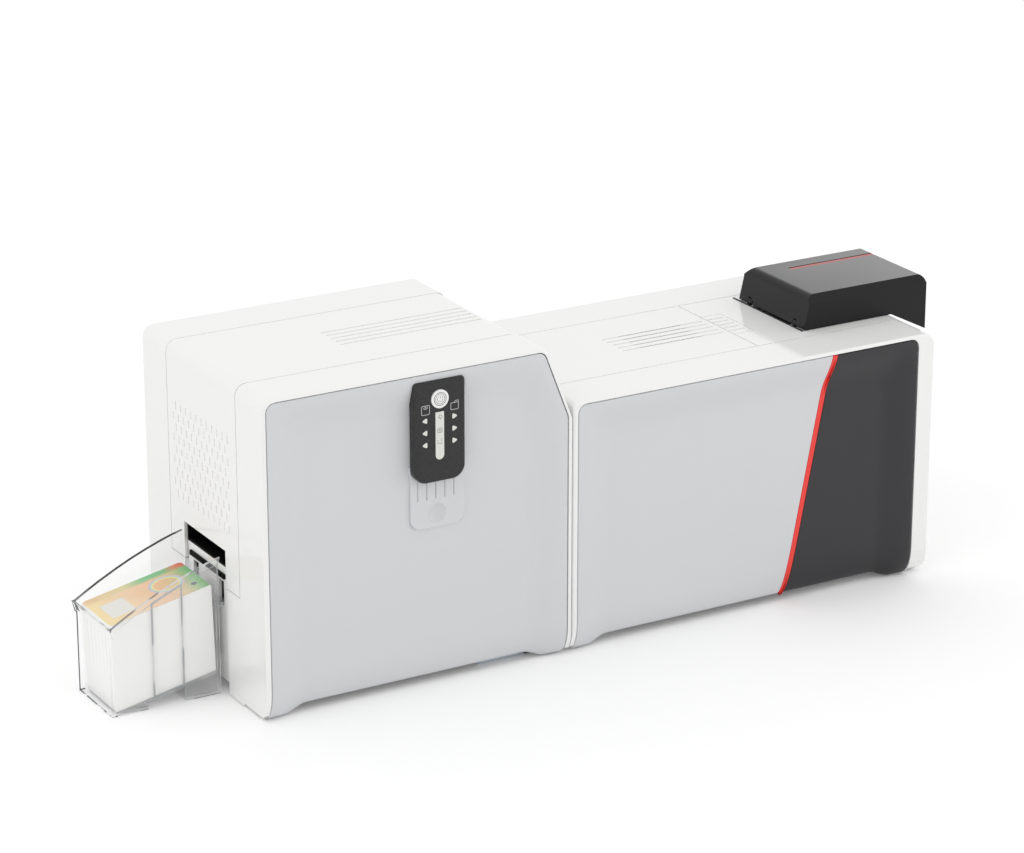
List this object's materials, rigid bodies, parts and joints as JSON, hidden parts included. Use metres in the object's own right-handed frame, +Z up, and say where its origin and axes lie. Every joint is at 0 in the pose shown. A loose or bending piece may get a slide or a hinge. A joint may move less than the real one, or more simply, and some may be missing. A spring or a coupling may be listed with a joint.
{
  "type": "id card printer",
  "caption": "Desktop card printer with an inline finishing unit: hinged covers, top card feeder with a hinged hood, control panel and a clear output hopper.",
  "frame": {"origin": "centre of the overall box, on the table", "axes": "+X along the row of units from the hopper to the feeder, -Y the front with the control panel, +Z up"},
  "size_m": [0.7362, 0.21, 0.259],
  "materials": {
    "white_shell": "glossy white moulding",
    "grey_door": "satin light grey moulding",
    "charcoal_door": "matt charcoal moulding",
    "accent_red": "glossy red trim",
    "black_hood": "matt black moulding",
    "black_gloss": "glossy black panel",
    "inner_plastic": "dark grey inner moulding",
    "clear_plastic": "clear moulded plastic",
    "card_white": "white card stock",
    "frame_steel": "zinc plated sheet steel",
    "steel_roller": "ground steel roller",
    "black_rubber": "black rubber",
    "heat_rubber": "red silicone rubber",
    "clean_rubber": "tacky blue rubber",
    "film_clear": "wound clear film",
    "ribbon_red": "wound dye ribbon",
    "ribbon_dark": "wound used ribbon",
    "button_white": "translucent white plastic",
    "board_green": "green circuit board",
    "motor_steel": "dark grey motor"
  },
  "bodies": {
    "housing": {"fin_base": "inner_plastic", "fin_front_shell": "white_shell", "fin_rear_shell": "white_shell", "fin_front_door": "grey_door", "fin_rear_door": "grey_door", "fin_face": "white_shell", "fin_slope_cap": "white_shell", "fin_frame_front": "frame_steel", "fin_frame_rear": "frame_steel", "panel_dock": "grey_door", "control_panel": "black_gloss", "light_guides": "button_white", "output_chute": "inner_plastic", "laminate_film": "film_clear", "prn_base": "inner_plastic", "prn_front_shell": "white_shell", "prn_rear_shell": "white_shell", "prn_front_door": "grey_door", "accent_strip": "accent_red", "dark_panel": "charcoal_door", "prn_rear_door": "grey_door", "prn_bridge": "white_shell", "hood_brackets": "black_hood", "prn_frame_front": "frame_steel", "prn_frame_rear": "frame_steel", "ribbon_film": "ribbon_dark", "feeder_tray": "inner_plastic", "blank_cards": "card_white", "hinge_pins": "steel_roller", "drive_motors": "motor_steel", "drive_belts": "black_rubber", "main_board": "board_green", "rear_ports": "inner_plastic", "rubber_feet": "black_rubber"},
    "finishing_cover": {"fin_top_cover": "white_shell"},
    "printer_cover": {"prn_top_cover": "white_shell", "printhead": "motor_steel"},
    "latch_pad": {"cover_latch": "white_shell"},
    "hood": {"feeder_hood": "black_hood", "hood_strip": "accent_red"},
    "weight": {"card_weight": "inner_plastic"},
    "button": {"power_button": "button_white"},
    "hopper": {"output_hopper": "clear_plastic", "finished_cards": "card_white"},
    "fin_roller_in_body": {"fin_roller_in": "black_rubber"},
    "fin_pinch_in_body": {"fin_pinch_in": "steel_roller"},
    "heat_roller_body": {"heat_roller": "heat_rubber"},
    "pressure_roller_body": {"pressure_roller": "black_rubber"},
    "fin_roller_out_body": {"fin_roller_out": "black_rubber"},
    "fin_pinch_out_body": {"fin_pinch_out": "steel_roller"},
    "film_supply_body": {"film_supply": "film_clear"},
    "film_takeup_body": {"film_takeup": "film_clear"},
    "platen_roller_body": {"platen_roller": "black_rubber"},
    "feed_roller_body": {"feed_roller": "black_rubber"},
    "clean_roller_body": {"clean_roller": "clean_rubber"},
    "transport_roller_a_body": {"transport_roller_a": "black_rubber"},
    "transport_roller_b_body": {"transport_roller_b": "black_rubber"},
    "transport_pinch_body": {"transport_pinch": "steel_roller"},
    "ribbon_supply_body": {"ribbon_supply": "ribbon_red"},
    "ribbon_takeup_body": {"ribbon_takeup": "ribbon_dark"}
  },
  "joints": [
    {"name": "finishing_cover_hinge", "type": "hinge", "parent": "housing", "child": "finishing_cover", "pos_m": [-0.0358, 0, 0.2508], "axis": [0, 1, 0], "range_deg": [0, 60]},
    {"name": "printer_cover_hinge", "type": "hinge", "parent": "housing", "child": "printer_cover", "pos_m": [0.0044, 0, 0.2025], "axis": [0, -1, 0], "range_deg": [0, 80]},
    {"name": "latch_press", "type": "slide", "parent": "housing", "child": "latch_pad", "axis": [0, 0, -1], "range_m": [0, 0.002], "stiffness_N_per_m": 300, "springref_m": -0.001},
    {"name": "feeder_hood_hinge", "type": "hinge", "parent": "housing", "child": "hood", "pos_m": [0.2492, 0, 0.2133], "axis": [0, -1, 0], "range_deg": [0, 75]},
    {"name": "weight_slide", "type": "slide", "parent": "housing", "child": "weight", "axis": [0, 0, 1], "range_m": [0, 0.04]},
    {"name": "button_press", "type": "slide", "parent": "housing", "child": "button", "axis": [0, 1, 0], "range_m": [0, 0.0008], "stiffness_N_per_m": 500, "springref_m": -0.0004},
    {"name": "hopper_lift", "type": "slide", "parent": "housing", "child": "hopper", "axis": [0, 0, 1], "range_m": [0, 0.014]},
    {"name": "fin_roller_in_spin", "type": "hinge", "parent": "housing", "child": "fin_roller_in_body", "pos_m": [-0.0304, 0, 0.1055], "axis": [0, 1, 0], "continuous": true},
    {"name": "fin_pinch_in_spin", "type": "hinge", "parent": "housing", "child": "fin_pinch_in_body", "pos_m": [-0.0304, 0, 0.12026], "axis": [0, 1, 0], "continuous": true},
    {"name": "heat_roller_spin", "type": "hinge", "parent": "housing", "child": "heat_roller_body", "pos_m": [-0.1324, 0, 0.12826], "axis": [0, 1, 0], "continuous": true},
    {"name": "pressure_roller_spin", "type": "hinge", "parent": "housing", "child": "pressure_roller_body", "pos_m": [-0.1324, 0, 0.1055], "axis": [0, 1, 0], "continuous": true},
    {"name": "fin_roller_out_spin", "type": "hinge", "parent": "housing", "child": "fin_roller_out_body", "pos_m": [-0.2257, 0, 0.1055], "axis": [0, 1, 0], "continuous": true},
    {"name": "fin_pinch_out_spin", "type": "hinge", "parent": "housing", "child": "fin_pinch_out_body", "pos_m": [-0.2257, 0, 0.12026], "axis": [0, 1, 0], "continuous": true},
    {"name": "film_supply_spin", "type": "hinge", "parent": "housing", "child": "film_supply_body", "pos_m": [-0.0924, 0, 0.195], "axis": [0, 1, 0], "continuous": true},
    {"name": "film_takeup_spin", "type": "hinge", "parent": "housing", "child": "film_takeup_body", "pos_m": [-0.1764, 0, 0.195], "axis": [0, 1, 0], "continuous": true},
    {"name": "platen_roller_spin", "type": "hinge", "parent": "housing", "child": "platen_roller_body", "pos_m": [0.1163, 0, 0.1055], "axis": [0, 1, 0], "continuous": true},
    {"name": "feed_roller_spin", "type": "hinge", "parent": "housing", "child": "feed_roller_body", "pos_m": [0.2685, 0, 0.1055], "axis": [0, 1, 0], "continuous": true},
    {"name": "clean_roller_spin", "type": "hinge", "parent": "housing", "child": "clean_roller_body", "pos_m": [0.2225, 0, 0.12126], "axis": [0, 1, 0], "continuous": true},
    {"name": "transport_roller_a_spin", "type": "hinge", "parent": "housing", "child": "transport_roller_a_body", "pos_m": [0.2225, 0, 0.1055], "axis": [0, 1, 0], "continuous": true},
    {"name": "transport_roller_b_spin", "type": "hinge", "parent": "housing", "child": "transport_roller_b_body", "pos_m": [0.0256, 0, 0.1055], "axis": [0, 1, 0], "continuous": true},
    {"name": "transport_pinch_spin", "type": "hinge", "parent": "housing", "child": "transport_pinch_body", "pos_m": [0.0256, 0, 0.12026], "axis": [0, 1, 0], "continuous": true},
    {"name": "ribbon_supply_spin", "type": "hinge", "parent": "housing", "child": "ribbon_supply_body", "pos_m": [0.1686, 0, 0.16], "axis": [0, 1, 0], "continuous": true},
    {"name": "ribbon_takeup_spin", "type": "hinge", "parent": "housing", "child": "ribbon_takeup_body", "pos_m": [0.0556, 0, 0.16], "axis": [0, 1, 0], "continuous": true}
  ],
  "couplings": [
    {"joint": "feed_roller_spin", "follows": "platen_roller_spin", "ratio": 1},
    {"joint": "transport_roller_a_spin", "follows": "platen_roller_spin", "ratio": 1},
    {"joint": "transport_roller_b_spin", "follows": "platen_roller_spin", "ratio": 1},
    {"joint": "clean_roller_spin", "follows": "platen_roller_spin", "ratio": -0.875},
    {"joint": "transport_pinch_spin", "follows": "platen_roller_spin", "ratio": -1},
    {"joint": "fin_roller_in_spin", "follows": "pressure_roller_spin", "ratio": 1},
    {"joint": "fin_roller_out_spin", "follows": "pressure_roller_spin", "ratio": 1},
    {"joint": "heat_roller_spin", "follows": "pressure_roller_spin", "ratio": -0.46667},
    {"joint": "fin_pinch_in_spin", "follows": "pressure_roller_spin", "ratio": -1},
    {"joint": "fin_pinch_out_spin", "follows": "pressure_roller_spin", "ratio": -1}
  ]
}
